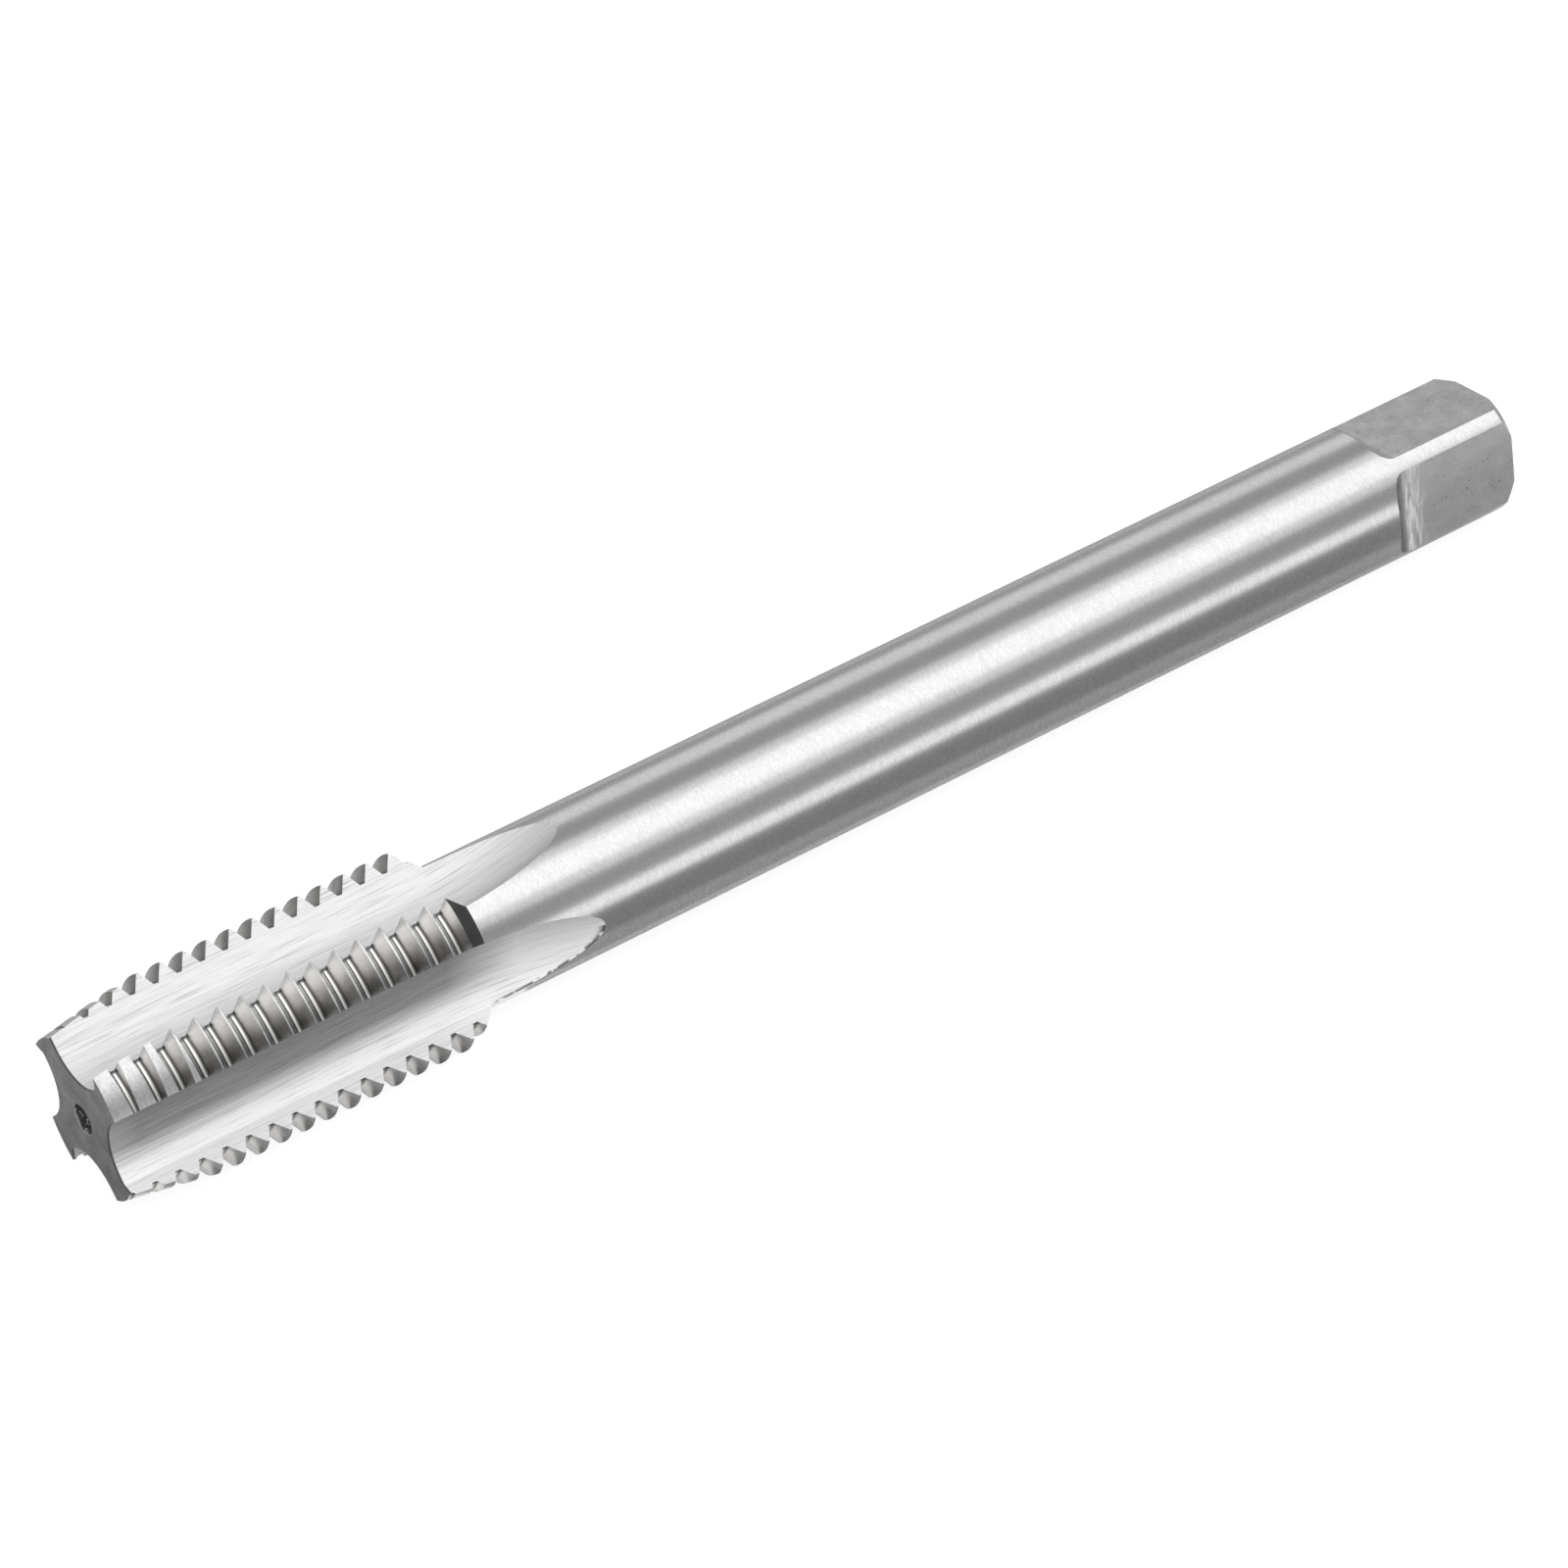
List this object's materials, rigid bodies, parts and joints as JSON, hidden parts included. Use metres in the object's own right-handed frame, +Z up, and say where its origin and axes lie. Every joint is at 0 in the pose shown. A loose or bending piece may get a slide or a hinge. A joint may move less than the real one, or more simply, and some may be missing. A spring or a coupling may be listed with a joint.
{
  "type": "thread tap",
  "caption": "Long straight-fluted hand tap with a coarse right-hand thread, a tapered lead, a plain round shank and a square drive end.",
  "frame": {"origin": "centre of the tip face, on the tap's own axis, where the front centre hole opens", "axes": "+X along the tap's axis, from the thread to the drive square; +Z up as the tap lies at rest on two lands of its thread and the rear of its shank, with two flats of the square level"},
  "size_m": [0.2, 0.0214, 0.0214],
  "materials": {
    "steel": "ground high-speed steel, satin on the shank and finely scratched in the flutes"
  },
  "bodies": {
    "root": {"tap": "steel"}
  },
  "joints": []
}
